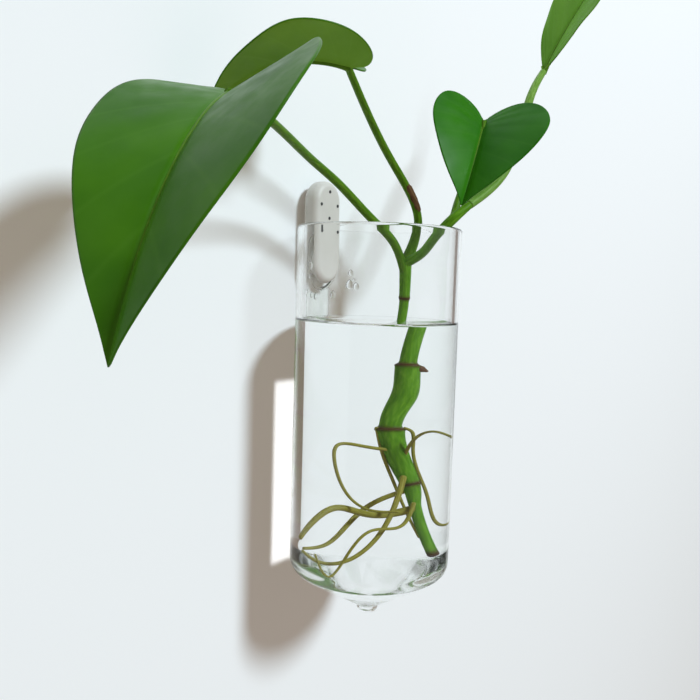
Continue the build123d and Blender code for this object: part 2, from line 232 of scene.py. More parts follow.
# Half the length of a step in radius, the stem's scars by place with their swelling, widths of a
# scar's swelling and of its colour, the length of brown at the cut end, the fibres' run along a stalk,
# the points worked out along a spline before it is cut into even steps, the fewest steps, the steps'
# lengths, and the least that the square of a round tip's share of the radius comes to
NODE_STEP = 0.4
STEM_RINGS = {1: 0.25, 3: 0.3, 5: 0.45, 6: 0.2}
RING_W = 0.7
SCAR_W = 0.9
CUT_BROWN = 2.6
GRAIN_PER_MM = 0.08
SPLINE_SAMPLES = 400
FEWEST_STEPS = 8
STALK_STEP = 0.5
STEM_STEP = 0.3
ROOT_STEP = 0.4
BUD_STEP = 0.25
TIP_LEAST = 1e-4

# Dry root bud: its reach from the upper node, and shares of that reach with the radius there
BUD_REACH = np.array((2.6, -3.8, -2.6))
BUD = [(0.0, 1.5), (0.6, 1.2), (1.0, 0.4)]

# Green sheath: upper face, share of the stalk that it runs along, width, thickness, curl and form
SHEATH_FACE = (-0.78, -0.55, 0.30)
SHEATH_RUN = 0.85
SHEATH_W = 4.4
SHEATH_T = 0.7
SHEATH_CURL = 0.12
SHEATH_FORM = 0.8
SHEATH_GRAIN = 2.2
SHEATH_ROWS = 60
SHEATH_COLUMNS = 16

# Dried sheath: middle as a share of the top stalk's second span, length, the turn it faces, radius
# inside the stalk, rise per cover, and how its cover is narrowed, pointed, frayed and limited
DRY_SHEATH_AT = 0.34
DRY_SHEATH_L = 12.5
DRY_SHEATH_TURN = 1.55
DRY_SHEATH_R = 1.2
DRY_SHEATH_RISE = 1.6
DRY_NARROW = 0.2
DRY_POINT = 0.4
DRY_FRAY = 0.12
DRY_FRAYS_ALONG = 9
DRY_FRAYS_ROUND = 3
DRY_COVER = 0.4
DRY_STEP = 0.25
DRY_CELLS = 24

# Roots: radius, and places along each; the radius runs from one share of it to another
ROOTS = {
    "root_main": (1.3, [
        in_water(0.727, 0.036, 20.3), in_water(0.511, 0.147, 18.7), in_water(0.198, 0.219, 20.0),
        in_water(-0.126, 0.306, 22.9), in_water(-0.403, 0.385, 19.7), in_water(-0.694, 0.493, 11.9)]),
    "root_loop": (0.58, [
        in_water(0.662, 0.187, 42.0), in_water(0.277, 0.295, 44.6), in_water(-0.011, 0.396, 45.5),
        in_water(-0.104, 0.371, 39.4), in_water(-0.04, 0.248, 27.7), in_water(0.036, 0.04, 22.9),
        in_water(0.201, -0.212, 22.6)]),
    "root_deep": (0.8, [
        in_water(0.698, 0.133, 34.6), in_water(0.486, 0.022, 27.3), in_water(0.165, -0.022, 14.2),
        in_water(-0.255, 0.079, 5.2), in_water(-0.522, 0.27, 4.3), in_water(-0.712, 0.446, 8.4)]),
    "root_back": (0.8, [
        in_water(0.723, 0.097, 27.4), in_water(0.486, 0.327, 21.8), in_water(0.158, 0.406, 13.0),
        in_water(-0.079, 0.46, 7.6), in_water(-0.374, 0.561, 6.5)]),
    "root_fine": (0.55, [
        in_water(0.727, 0.047, 23.6), in_water(0.353, -0.112, 15.9), in_water(-0.158, -0.133, 16.8),
        in_water(-0.399, -0.022, 9.4), in_water(-0.604, 0.108, 0.4), in_water(-0.741, 0.234, 8.8)]),
    "root_right": (0.5, [
        in_water(0.683, 0.155, 38.0), in_water(0.615, -0.036, 47.6), in_water(0.637, -0.216, 50.7),
        in_water(0.665, -0.45, 48.2)]),
}
FINE_ROOTS = {
    "root_strap": (0.5, [
        in_water(0.513, 0.317, 51.1), in_water(0.536, 0.27, 42.0), in_water(0.611, 0.195, 31.0),
        in_water(0.66, 0.09, 20.0), in_water(0.71, -0.03, 9.0)]),
    "root_side": (0.45, [
        in_water(0.688, 0.156, 50.8), in_water(0.731, 0.098, 49.4), in_water(0.74, 0.087, 41.6),
        in_water(0.788, 0.011, 28.6), in_water(0.79, -0.046, 21.0), in_water(0.833, -0.104, 13.0),
        in_water(0.886, -0.175, 13.0)]),
}
ROOT_THICK = 1.1
ROOT_THIN = 0.7

# Clear finishes: tint, refraction, and the share that each mirrors; their surfaces overlap, so the
# glass and the water mirror less than they would alone
CLEAR_TINT = (0.995, 1.0, 0.998, 1)
GLASS_IOR = 1.47
GLASS_MIRROR = 0.5
WATER_IOR = 1.333
WATER_MIRROR = 0.1
DROP_MIRROR = 1.0
PLATE_TINT = (0.95, 0.965, 0.96, 1)
PLATE_IOR = 1.46

# Noise of the finishes: the span of its values that is used, and its scales per metre, or per unit of
# the fibres' coordinates
NOISE_SPAN = (0.3, 0.7)
GLASS_WAVE = 28.0
WATER_WAVE = 40.0
PLATE_HAZE = 300.0
ADHESIVE_CLOUD = 220.0
PEG_CLOUD = 90.0
PEG_SHEEN = 400.0
PEG_GRAIN = 1500.0
INK_WEAR = 900.0
LEAF_CLOUD = 45.0
LEAF_SHEEN = 160.0
LEAF_CELLS = 1400.0
FIBRES = 3.2

# Clouded finishes: places along the noise, with the colour there
ADHESIVE_SHADES = [(0.35, (0.70, 0.73, 0.72)), (0.65, (0.80, 0.83, 0.82))]
PEG_SHADES = [(0.3, (0.58, 0.57, 0.54)), (0.7, (0.63, 0.62, 0.59))]
INK_SHADES = [(0.3, (0.02, 0.02, 0.022)), (0.75, (0.06, 0.06, 0.06))]
WALL_WHITE = (0.86, 0.895, 0.92, 1)

# Leaf finishes: deep and light green, veins, and the least roughness; then where in the cloud the two
# greens lie, how far and how much the side veins and the midrib are paler, and the roughness added
LEAF_SHADES = {
    "leaf_upper": ((0.029, 0.122, 0.003), (0.052, 0.175, 0.005), (0.08, 0.22, 0.02), 0.30),
    "leaf_upper_young": ((0.09, 0.26, 0.018), (0.14, 0.34, 0.035), (0.18, 0.40, 0.06), 0.30),
    # The underside is paler green, partly its own colour and partly painted light shining through the leaf
    "leaf_under_painted_glow": ((0.11, 0.27, 0.018), (0.165, 0.36, 0.028), (0.20, 0.40, 0.05), 0.45),
    "leaf_upper_right": ((0.016, 0.125, 0.003), (0.032, 0.180, 0.005), (0.06, 0.22, 0.02), 0.34),
}
LEAF_STOPS = (0.3, 0.72)
VEIN_W = 0.08
VEIN_PALE = 0.14
RIB_FADE = (0.35, 1.1)
RIB_PALE = 0.18
LEAF_ROUGHER = 0.12

# Stalk finishes: dark, middle and light fibres, scars, and the least roughness; then where in the noise
# the three fibres lie, and the roughness added
STALK_SHADES = {
    "stalk": ((0.036, 0.105, 0.004), (0.072, 0.180, 0.008), (0.14, 0.28, 0.022), (0.07, 0.035, 0.012), 0.32),
    "stem": ((0.048, 0.145, 0.0045), (0.085, 0.235, 0.009), (0.16, 0.36, 0.026), (0.06, 0.026, 0.008), 0.32),
    "stalk_young": ((0.08, 0.20, 0.02), (0.15, 0.30, 0.05), (0.26, 0.42, 0.11), (0.07, 0.035, 0.012), 0.32),
    "root": ((0.11, 0.10, 0.012), (0.22, 0.21, 0.03), (0.34, 0.32, 0.08), (0.10, 0.06, 0.02), 0.40),
    "husk": ((0.05, 0.022, 0.010), (0.11, 0.055, 0.025), (0.20, 0.12, 0.06), (0.10, 0.05, 0.02), 0.6),
}
FIBRE_STOPS = (0.25, 0.5, 0.8)
STALK_ROUGHER = 0.15
WAX_SPECULAR = 0.10

# Key lamp: direction from the wall's normal, distance, width, power and colour, and the share of its
# light that empty glass keeps from the wall
KEY_SIDE = math.radians(8.5)
KEY_HEIGHT = math.radians(35.0)
KEY_DISTANCE = 2600.0
KEY_WIDTH = 500.0
KEY_POWER = 62.0
KEY_COLOUR = (0.80, 0.925, 1.0)
GLASS_SHADE = 0.16

# The room: as light, as the walls and floor that gloss mirrors, as the backdrop seen through glass, as
# what light mirrored inside the glass finds in front, and as the far right side; a pair of numbers is
# the fade of a part of it, along the direction's share towards that part
ROOM_LIGHT = (0.413, 0.340, 0.283)
ROOM_MIRRORED = (0.10, 0.10, 0.10)
FLOOR_MIRRORED = (0.72, 0.73, 0.72)
FLOOR_FADE = (0.35, 0.7)
BACKDROP = (0.82, 0.86, 0.88)
ROOM_FRONT = (-0.8, -0.6, 0.0)
ROOM_RETURNED = (0.42, 0.43, 0.43)
FRONT_FADE = (0.3, 0.7)
FAR_SIDE = (0.24, 0.19, 0.16)
FAR_FADE = (0.90, 0.97)

# The bright stripe that the column of water throws on the wall: a lamp of its own, close to the wall
STRIPE_AT = (-11.0, 0.0, -72.5)
STRIPE_W = 15.0
STRIPE_H = 71.0
STRIPE_BACK = 20.0
STRIPE_SPREAD = math.radians(12.0)
STRIPE_POWER = 0.0032

# The wall: half its size, its gap behind the part, and the length of diffuse rays that pass it
STAGE_HALF = 3000.0
STAGE_GAP = 0.2
WALL_CONTACT = 4.0

# Light goes through many walls of glass and water before it leaves the tube
LIGHT_BOUNCES = 32


def spline(points, step):
    """Natural cubic spline through the points, cut into even steps along its length.

    Its knots are as far apart as the square roots of the points' distances. Returns the points and the
    length at which each given point is reached.
    """
    spots = np.asarray(points, float)
    count = len(spots)
    gaps = np.sqrt(np.linalg.norm(np.diff(spots, axis=0), axis=1))
    knots = np.concatenate([[0.0], np.cumsum(gaps)])
    system = np.eye(count)
    right_side = np.zeros_like(spots)
    inner = np.arange(1, count - 1)
    system[inner, inner - 1] = gaps[:-1]
    system[inner, inner] = 2 * (gaps[:-1] + gaps[1:])
    system[inner, inner + 1] = gaps[1:]
    slopes = np.diff(spots, axis=0) / gaps[:, None]
    right_side[1:-1] = 6 * np.diff(slopes, axis=0)
    bends = np.linalg.solve(system, right_side)
    at = np.linspace(0, knots[-1], SPLINE_SAMPLES)
    span = np.clip(np.searchsorted(knots, at, side="right") - 1, 0, count - 2)
    gap = gaps[span][:, None]
    after = (at - knots[span])[:, None]
    before = gap - after
    line = (bends[span] * before ** 3 + bends[span + 1] * after ** 3) / (6 * gap)
    line += (spots[span] / gap - bends[span] * gap / 6) * before
    line += (spots[span + 1] / gap - bends[span + 1] * gap / 6) * after
    lengths = np.concatenate([[0.0], np.cumsum(np.linalg.norm(np.diff(line, axis=0), axis=1))])
    even = np.linspace(0, lengths[-1], max(FEWEST_STEPS, int(lengths[-1] / step)))
    path = np.stack([np.interp(even, lengths, line[:, k]) for k in range(spots.shape[1])], axis=1)
    return path, np.interp(knots, at, lengths)


def path_lengths(path):
    """Length from the start to every point of a path."""
    return np.concatenate([[0.0], np.cumsum(np.linalg.norm(np.diff(path, axis=0), axis=1))])


def grid_faces(rows, columns, wrap=False, skip=None):
    """Quads between the neighbours of a grid; wrap joins the last column to the first."""
    row = np.arange(rows - 1)[:, None]
    column = np.arange(columns if wrap else columns - 1)[None, :]
    right = (column + 1) % columns
    corners = (row * columns + column, row * columns + right,
               (row + 1) * columns + right, (row + 1) * columns + column)
    quads = np.stack(np.broadcast_arrays(*corners), axis=-1)
    if skip is not None:
        quads = quads[~skip]
    return quads.reshape(-1, 4)


def set_attribute(mesh, name, values):
    """A float or vector attribute on the points of a mesh."""
    flat = np.ascontiguousarray(values, np.float32)
    if flat.ndim == 1:
        mesh.attributes.new(name, "FLOAT", "POINT").data.foreach_set("value", flat)
    else:
        mesh.attributes.new(name, "FLOAT_VECTOR", "POINT").data.foreach_set("vector", flat.ravel())


def make_piece(name, points, quads, materials, attributes=None, closed=True):
    """A smooth mesh object at the origin, with its seams and poles welded."""
    mesh = bpy.data.meshes.new(name)
    mesh.from_pydata((np.asarray(points).reshape(-1, 3) * MM).tolist(), [], quads.tolist())
    for key, values in (attributes or {}).items():
        set_attribute(mesh, key, values)
    work = bmesh.new()
    work.from_mesh(mesh)
    bmesh.ops.remove_doubles(work, verts=work.verts, dist=WELD * MM)
    if closed:
        bmesh.ops.recalc_face_normals(work, faces=work.faces)
    work.to_mesh(mesh)
    work.free()
    mesh.shade_smooth()
    for material in materials:
        mesh.materials.append(material)
    piece = bpy.data.objects.new(name, mesh)
    bpy.context.scene.collection.objects.link(piece)
    return piece


def dress(piece, body, slot, *nodes):
    """Ride a piece on its body and let it stand for its CAD nodes; its slot is not used."""
    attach(piece, body)
    if nodes:
        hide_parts(*nodes)
    return piece


def thicken(piece, thickness, offset):
    """Give a sheet its thickness, in millimetres; offset -1 puts all of it under the sheet."""
    solid = piece.modifiers.new("thickness", "SOLIDIFY")
    solid.thickness = thickness * MM
    solid.offset = offset
    return solid


def sweep(path, radius, sides=24):
    """Rings round a path, each square to it, closed by a point at each end.

    The rings' first direction is square to the path and to the direction the path turns least about.
    Also returns the fibres' coordinates: cosine and sine round the ring, and a share of the length.
    """
    along = np.gradient(path, axis=0)
    along /= np.linalg.norm(along, axis=1)[:, None]
    steady = np.linalg.eigh(along.T @ along)[1][:, 0]
    side = np.cross(along, steady)
    side /= np.linalg.norm(side, axis=1)[:, None]
    lift = np.cross(side, along)
    turn = np.linspace(0, 2 * np.pi, sides, endpoint=False)
    cosine = np.cos(turn)[None, :, None]
    sine = np.sin(turn)[None, :, None]
    spokes = cosine * side[:, None, :] + sine * lift[:, None, :]
    rings = path[:, None, :] + np.asarray(radius).reshape(len(path), -1)[:, :, None] * spokes
    first = np.repeat(path[:1, None, :], sides, axis=1)
    last = np.repeat(path[-1:, None, :], sides, axis=1)
    points = np.concatenate([first, rings, last])
    length = path_lengths(path)
    length = np.concatenate([[length[0]], length, [length[-1]]])
    run = GRAIN_PER_MM * length[:, None]
    grain = np.stack(np.broadcast_arrays(cosine[..., 0], sine[..., 0], run), axis=-1)
    return points, grid_faces(len(points), sides, wrap=True), grain.reshape(-1, 3)


def rounded_chain(chain, radii, cells=10):
    """A chain of (r, z) corners with each inner corner turned into an arc of its radius."""
    spots = np.asarray(chain, float)
    pieces = [spots[:1]]
    for before, corner, after, radius in zip(spots, spots[1:], spots[2:], radii):
        inward = (before - corner) / np.linalg.norm(before - corner)
        onward = (after - corner) / np.linalg.norm(after - corner)
        half = math.acos(float(np.clip(inward @ onward, -1, 1))) / 2
        middle = (inward + onward) / np.linalg.norm(inward + onward)
        centre = corner + middle * radius / math.sin(half)
        reach = radius / math.tan(half)
        start = corner + inward * reach - centre
        end = corner + onward * reach - centre
        share = np.linspace(0, 1, cells + 1)[:, None]
        spread = math.acos(float(np.clip(start @ end / radius ** 2, -1, 1)))
        arc = (np.sin((1 - share) * spread) * start + np.sin(share * spread) * end) / math.sin(spread)
        pieces.append(centre + arc)
    pieces.append(spots[-1:])
    return np.concatenate(pieces)


def turned(radius, turn, level):
    """Points at a radius from the tube's axis, turned about it from its back, at a level."""
    x = radius * np.sin(turn)
    y = AXIS_Y + radius * np.cos(turn)
    return np.stack(np.broadcast_arrays(x, y, level), axis=-1)


def on_glass(angle, height, depth):
    """Points inside the tube: turned from its back, at a height from the rim and a depth from the glass."""
    return turned(INNER_R - depth, angle, RIM_Z + height)


# Shader building blocks


def shader(name):
    """A new material with its node tree and its main shader."""
    material = bpy.data.materials.new(name)
    material.use_nodes = True
    tree = material.node_tree
    return material, tree, tree.nodes["Principled BSDF"]


def set_sockets(surface, **values):
    """Constants on the shader's own sockets; underscores in a name stand for spaces."""
    for key, value in values.items():
        surface.inputs[key.replace("_", " ")].default_value = value


def object_place(tree):
    """Object coordinates."""
    return tree.nodes.new("ShaderNodeTexCoord").outputs["Object"]


def attribute(tree, name, output="Fac"):
    """A value or vector stored on the piece."""
    reader = tree.nodes.new("ShaderNodeAttribute")
    reader.attribute_name = name
    return reader.outputs[output]


def noise(tree, place, scale, detail=3.0, rough=0.5):
    """Cloudy noise from 0 to 1."""
    texture = tree.nodes.new("ShaderNodeTexNoise")
    texture.inputs["Scale"].default_value = scale
    texture.inputs["Detail"].default_value = detail
    texture.inputs["Roughness"].default_value = rough
    tree.links.new(place, texture.inputs["Vector"])
    return texture.outputs[0]


def math_node(tree, operation, first, second=0.5):
    """One sum on a value; second may be a number or a socket."""
    step = tree.nodes.new("ShaderNodeMath")
    step.operation = operation
    for socket, value in zip(step.inputs, (first, second)):
        if isinstance(value, (int, float)):
            socket.default_value = value
        else:
            tree.links.new(value, socket)
    return step.outputs[0]


def fade(tree, value, low, high, out_low=0.0, out_high=1.0):
    """A smooth step from low to high."""
    step = tree.nodes.new("ShaderNodeMapRange")
    step.interpolation_type = "SMOOTHSTEP"
    for socket, number in zip(step.inputs[1:5], (low, high, out_low, out_high)):
        socket.default_value = number
    tree.links.new(value, step.inputs[0])
    return step.outputs[0]


def ramp(tree, value, stops):
    """Colours along a value: stops are (place, colour)."""
    bar = tree.nodes.new("ShaderNodeValToRGB")
    while len(bar.color_ramp.elements) < len(stops):
        bar.color_ramp.elements.new(0.5)
    for element, (place, colour) in zip(bar.color_ramp.elements, stops):
        element.position = place
        element.color = (*colour, 1)
    tree.links.new(value, bar.inputs[0])
    return bar.outputs[0]


def blend_colour(tree, share, first, second):
    """Two colours mixed by a share; each is a colour or a socket."""
    mixer = tree.nodes.new("ShaderNodeMix")
    mixer.data_type = "RGBA"
    tree.links.new(share, mixer.inputs[0])
    for socket, value in zip((mixer.inputs[6], mixer.inputs[7]), (first, second)):
        if isinstance(value, tuple):
            socket.default_value = (*value, 1)
        else:
            tree.links.new(value, socket)
    return mixer.outputs[2]


def bump(tree, surface, height, strength, distance):
    """Fine relief on the shader's normal, with its depth in millimetres."""
    relief = tree.nodes.new("ShaderNodeBump")
    relief.inputs["Strength"].default_value = strength
    relief.inputs["Distance"].default_value = distance * MM
    tree.links.new(height, relief.inputs["Height"])
    tree.links.new(relief.outputs[0], surface.inputs["Normal"])


# Finishes


def clear_finish(name, ior, mirror):
    """Clear glass or water with a trace of green, that mirrors the given share."""
    material, tree, surface = shader(name)
    set_sockets(surface, Base_Color=CLEAR_TINT, Roughness=0.0, IOR=ior, Transmission_Weight=1.0,
                Specular_Tint=(mirror, mirror, mirror, 1))
    return material, tree, surface


def clear_glass():
    """Clear glass with the faint waviness of drawn tube."""
    material, tree, surface = clear_finish("clear_glass", GLASS_IOR, GLASS_MIRROR)
    wave = noise(tree, object_place(tree), GLASS_WAVE, detail=1.0)
    bump(tree, surface, wave, strength=0.05, distance=0.4)
    return material


def water_finish(name, mirror):
    """Clear water, hardly wavy, that mirrors the given share."""
    material, tree, surface = clear_finish(name, WATER_IOR, mirror)
    wave = noise(tree, object_place(tree), WATER_WAVE, detail=0.0)
    bump(tree, surface, wave, strength=0.02, distance=0.3)
    return material


def clear_plate():
    """Clear moulded plastic of the wall plate."""
    material, tree, surface = shader("clear_plate")
    set_sockets(surface, Base_Color=PLATE_TINT, IOR=PLATE_IOR, Transmission_Weight=1.0)
    haze = noise(tree, object_place(tree), PLATE_HAZE)
    tree.links.new(fade(tree, haze, *NOISE_SPAN, 0.02, 0.10), surface.inputs["Roughness"])
    return material


def adhesive():
    """Soft adhesive, milky, with trapped bubbles."""
    material, tree, surface = shader("adhesive")
    cloud = noise(tree, object_place(tree), ADHESIVE_CLOUD, detail=4.0)
    tree.links.new(ramp(tree, cloud, ADHESIVE_SHADES), surface.inputs["Base Color"])
    set_sockets(surface, Roughness=0.5)
    return material


def peg_plastic():
    """Off-white moulded plastic with a soft gloss."""
    material, tree, surface = shader("peg_plastic")
    place = object_place(tree)
    cloud = noise(tree, place, PEG_CLOUD)
    tree.links.new(ramp(tree, cloud, PEG_SHADES), surface.inputs["Base Color"])
    sheen = noise(tree, place, PEG_SHEEN)
    tree.links.new(fade(tree, sheen, *NOISE_SPAN, 0.40, 0.54), surface.inputs["Roughness"])
    bump(tree, surface, noise(tree, place, PEG_GRAIN), strength=0.08, distance=0.05)
    return material


def dot_ink():
    """Dark dots, a little worn."""
    material, tree, surface = shader("dot_ink")
    wear = noise(tree, object_place(tree), INK_WEAR)
    tree.links.new(ramp(tree, wear, INK_SHADES), surface.inputs["Base Color"])
    set_sockets(surface, Roughness=0.6)
    return material


def leaf_finish(name, deep, light, vein, gloss):
    """Waxy leaf: clouded green, paler veins and midrib, fine cells."""
    material, tree, surface = shader(name)
    place = object_place(tree)
    cloud = noise(tree, place, LEAF_CLOUD, detail=4.0)
    green = ramp(tree, cloud, list(zip(LEAF_STOPS, (deep, light))))
    from_vein = math_node(tree, "PINGPONG", attribute(tree, "vein"), 0.5)
    green = blend_colour(tree, fade(tree, from_vein, 0.0, VEIN_W, VEIN_PALE, 0.0), green, vein)
    rib = fade(tree, attribute(tree, "from_rib"), *RIB_FADE, RIB_PALE, 0.0)
    green = blend_colour(tree, rib, green, vein)
    tree.links.new(green, surface.inputs["Base Color"])
    sheen = noise(tree, place, LEAF_SHEEN)
    tree.links.new(fade(tree, sheen, *NOISE_SPAN, gloss, gloss + LEAF_ROUGHER), surface.inputs["Roughness"])
    set_sockets(surface, Specular_IOR_Level=WAX_SPECULAR)
    bump(tree, surface, noise(tree, place, LEAF_CELLS, detail=2.0), strength=0.12, distance=0.06)
    return material


def stalk_finish(name, dark, middle, light, scar, gloss):
    """Waxy stalk: fibres along its length, in the scar's colour where the scar attribute says."""
    material, tree, surface = shader(name)
    fibres = noise(tree, attribute(tree, "grain", "Vector"), FIBRES, detail=4.0, rough=0.6)
    colour = ramp(tree, fibres, list(zip(FIBRE_STOPS, (dark, middle, light))))
    colour = blend_colour(tree, attribute(tree, "scar"), colour, scar)
    tree.links.new(colour, surface.inputs["Base Color"])
    roughness = fade(tree, fibres, *NOISE_SPAN, gloss, gloss + STALK_ROUGHER)
    tree.links.new(roughness, surface.inputs["Roughness"])
    set_sockets(surface, Specular_IOR_Level=WAX_SPECULAR)
    bump(tree, surface, fibres, strength=0.25, distance=0.15)
    return material


def wall_finish():
    """White wall that only shows from the room's side, so that views from behind see through it.

    Diffuse rays shorter than the contact length go through it too, so that they light the pad's back.
    """
    material, tree, surface = shader("wall")
    set_sockets(surface, Base_Color=WALL_WHITE, Roughness=0.9, Specular_IOR_Level=0.2)
    clear = tree.nodes.new("ShaderNodeBsdfTransparent")
    sides = tree.nodes.new("ShaderNodeMixShader")
    back = tree.nodes.new("ShaderNodeNewGeometry").outputs["Backfacing"]
    ray = tree.nodes.new("ShaderNodeLightPath").outputs
    short = math_node(tree, "LESS_THAN", ray["Ray Length"], WALL_CONTACT * MM)
    touching = math_node(tree, "MULTIPLY", short, ray["Is Diffuse Ray"])
    tree.links.new(math_node(tree, "MAXIMUM", back, touching), sides.inputs[0])
    tree.links.new(surface.outputs[0], sides.inputs[1])
    tree.links.new(clear.outputs[0], sides.inputs[2])
    tree.links.new(sides.outputs[0], tree.nodes["Material Output"].inputs["Surface"])
    return material


# Glass and water


def wall_rows(start, low, patch):
    """Levels of a straight wall: even rows up to the hole's patch, then the patch's own rows."""
    return np.concatenate([np.linspace(start, low, WALL_ROWS, endpoint=False)[1:], patch])


def glass_profile():
    """Section of the tube as (r, z): nub, cone, shoulder and wall outside, rim, then the inside.

    Returns the section and the row where the outer and the inner hole patch start.
    """
    outer = rounded_chain([(0, NUB_TIP_Z), (NUB_R - NUB_TIP_IN, NUB_TIP_Z + NUB_TIP_RISE),
                           (NUB_R, NUB_TIP_Z + NUB_H), (TUBE_R, CORNER_Z), (TUBE_R, RIM_Z)],
                          [NUB_TIP_ROUND, NUB_NECK, SHOULDER_OUT])[:-1]
    inner = rounded_chain([(INNER_R, RIM_Z), (INNER_R, INNER_CORNER_Z), (FLOOR_R, FLOOR_Z), (0, FLOOR_Z)],
                          [SHOULDER_IN, FLOOR_ROUND])[1:]
    low, high = HOLE_Z - PATCH, HOLE_Z + PATCH
    patch = np.linspace(low, high, PATCH_CELLS + 1)
    outer_wall = wall_rows(outer[-1, 1], low, patch)
    inner_wall = wall_rows(inner[0, 1], low, patch)[::-1]
    rim = rounded_chain([(TUBE_R, high), (TUBE_R, RIM_Z), (INNER_R, RIM_Z), (INNER_R, high)],
                        [RIM_ROUND, RIM_ROUND], RIM_CELLS)[1:-1]
    section = np.concatenate([outer, np.stack([np.full_like(outer_wall, TUBE_R), outer_wall], 1), rim,
                              np.stack([np.full_like(inner_wall, INNER_R), inner_wall], 1), inner])
    outer_row = len(outer) + len(outer_wall) - PATCH_CELLS - 1
    inner_row = len(outer) + len(outer_wall) + len(rim)
    return section, outer_row, inner_row


def hole_edge(points, row):
    """The border of a hole patch on the tube's grid, as one loop of points."""
    last = PATCH_CELLS
    step = np.arange(PATCH_CELLS)
    rows = np.concatenate([0 * step, step, 0 * step + last, last - step])
    columns = np.concatenate([step, 0 * step + last, last - step, 0 * step])
    return points[row + rows, columns]


def hole_sheet(edge, ring, tube_radius):
    """The wall between a patch's border and the hole's ring: rows that go from one to the other."""
    share = np.linspace(1, 0, PATCH_RINGS)[:, None, None]
    square = np.stack([edge[:, 0], edge[:, 2] - HOLE_Z], axis=1)
    flat = share * square + (1 - share) * ring
    depth = AXIS_Y + np.sqrt(tube_radius ** 2 - flat[..., 0] ** 2)
    return np.stack([flat[..., 0], depth, HOLE_Z + flat[..., 1]], axis=-1)


def hole_patch(outer_edge, inner_edge):
    """The wall round the hole as one grid: the outside, the lip and the inside.

    Each sheet blends the border of a square on the wall into a circle, and the lip between the two
    circles is half a turn from one to the other.
    """
    angle = np.arctan2(outer_edge[:, 2] - HOLE_Z, outer_edge[:, 0])
    ring = (HOLE_R + LIP) * np.stack([np.cos(angle), np.sin(angle)], axis=1)
    outside = hole_sheet(outer_edge, ring, TUBE_R)
    inside = hole_sheet(inner_edge, ring, INNER_R)[::-1]
    half_turn = np.linspace(0, np.pi, LIP_CELLS + 1)[1:-1, None]
    lip_r = HOLE_R + LIP * (1 - np.sin(half_turn))
    middle = (outside[-1, :, 1] + inside[0, :, 1]) / 2
    half_wall = (outside[-1, :, 1] - inside[0, :, 1]) / 2
    lip = np.stack(np.broadcast_arrays(lip_r * np.cos(angle), middle + half_wall * np.cos(half_turn),
                                       HOLE_Z + lip_r * np.sin(angle)), axis=-1)
    return np.concatenate([outside, lip, inside])


def make_glass():
    """The tube: its section turned about its axis, with a polished hole in the back.

    The inside's rows run down, so the inner border of the hole's patch is read from the last row up.
    """
    section, outer_row, inner_row = glass_profile()
    reach = math.asin(PATCH / TUBE_R)
    near = np.linspace(-reach, reach, PATCH_CELLS + 1)
    far = np.linspace(reach, 2 * np.pi - reach, ROUND_CELLS + 1)[1:-1]
    turn = np.concatenate([near, far])
    wall = turned(section[:, :1], turn, section[:, 1:])
    skip = np.zeros((len(section) - 1, len(turn)), bool)
    skip[outer_row:outer_row + PATCH_CELLS, :PATCH_CELLS] = True
    skip[inner_row:inner_row + PATCH_CELLS, :PATCH_CELLS] = True
    quads = grid_faces(len(section), len(turn), wrap=True, skip=skip)
    inner_edge = hole_edge(wall[::-1], len(section) - 1 - inner_row - PATCH_CELLS)
    patch = hole_patch(hole_edge(wall, outer_row), inner_edge)
    patch_quads = grid_faces(*patch.shape[:2], wrap=True) + wall.size // 3
    points = np.concatenate([wall.reshape(-1, 3), patch.reshape(-1, 3)])
    piece = make_piece("glass_vase", points, np.concatenate([quads, patch_quads]), [clear_glass()])
    return dress(piece, "vase", "glass", "glass_tube")


def make_water(material):
    """The water: the inside of the tube turned about its axis, a hair into the glass.

    Its surface rises to the glass as height times e to the minus distance over the fade.
    """
    water_r = INNER_R + WATER_BITE
    body = rounded_chain([(0, FLOOR_Z - WATER_BITE), (FLOOR_R, FLOOR_Z - WATER_BITE),
                          (water_r, INNER_CORNER_Z - WATER_BITE), (water_r, WATER_Z + MENISCUS)],
                         [FLOOR_ROUND, SHOULDER_IN])
    across = water_r * np.sin(np.linspace(np.pi / 2, 0, WATER_RINGS))[1:]
    top = WATER_Z + MENISCUS * np.exp((across - INNER_R) / MENISCUS_FADE)
    section = np.concatenate([body, np.stack([across, top], axis=1)])
    turn = np.linspace(0, 2 * np.pi, WATER_CELLS, endpoint=False)
    points = turned(section[:, :1], turn, section[:, 1:])
    piece = make_piece("water", points, grid_faces(len(section), len(turn), wrap=True), [material])
    return dress(piece, "vase", "glass")


def drop_ball(angle, height, size):
    """A drop on the glass: a flattened ball that dips into the wall.

    Its half size shrinks by a share of the height above its middle and grows below, so that it hangs.
    """
    polar = np.linspace(0, np.pi, DROP_RINGS)[:, None]
    turn = np.linspace(0, 2 * np.pi, DROP_CELLS, endpoint=False)[None, :]
    ring = size * (1 - DROP_HANG * np.cos(polar)) * np.sin(polar)
    side = ring * np.sin(turn) / INNER_R
    depth = DROP_DEPTH * ring * np.cos(turn) + DROP_OUT * size
    return on_glass(math.radians(angle) + side, height + DROP_TALL * size * np.cos(polar), depth)


def lip_bead():
    """The bead in the hole's lip: a tube along the lip's lower side, its radius a sine's square root."""
    around = np.linspace(BEAD_FROM, BEAD_TO, BEAD_RINGS)
    lip_r = HOLE_R - BEAD_INSET
    lip_turn = np.arcsin(lip_r * np.cos(around) / INNER_R)
    path = on_glass(lip_turn, HOLE_Z - RIM_Z + lip_r * np.sin(around), -BEAD_SUNK)
    radius = BEAD_R * np.sin(np.linspace(BEAD_TIP, np.pi - BEAD_TIP, BEAD_RINGS)) ** 0.5
    points, quads, _ = sweep(path, radius, BEAD_SIDES)
    return points.reshape(-1, 3), quads


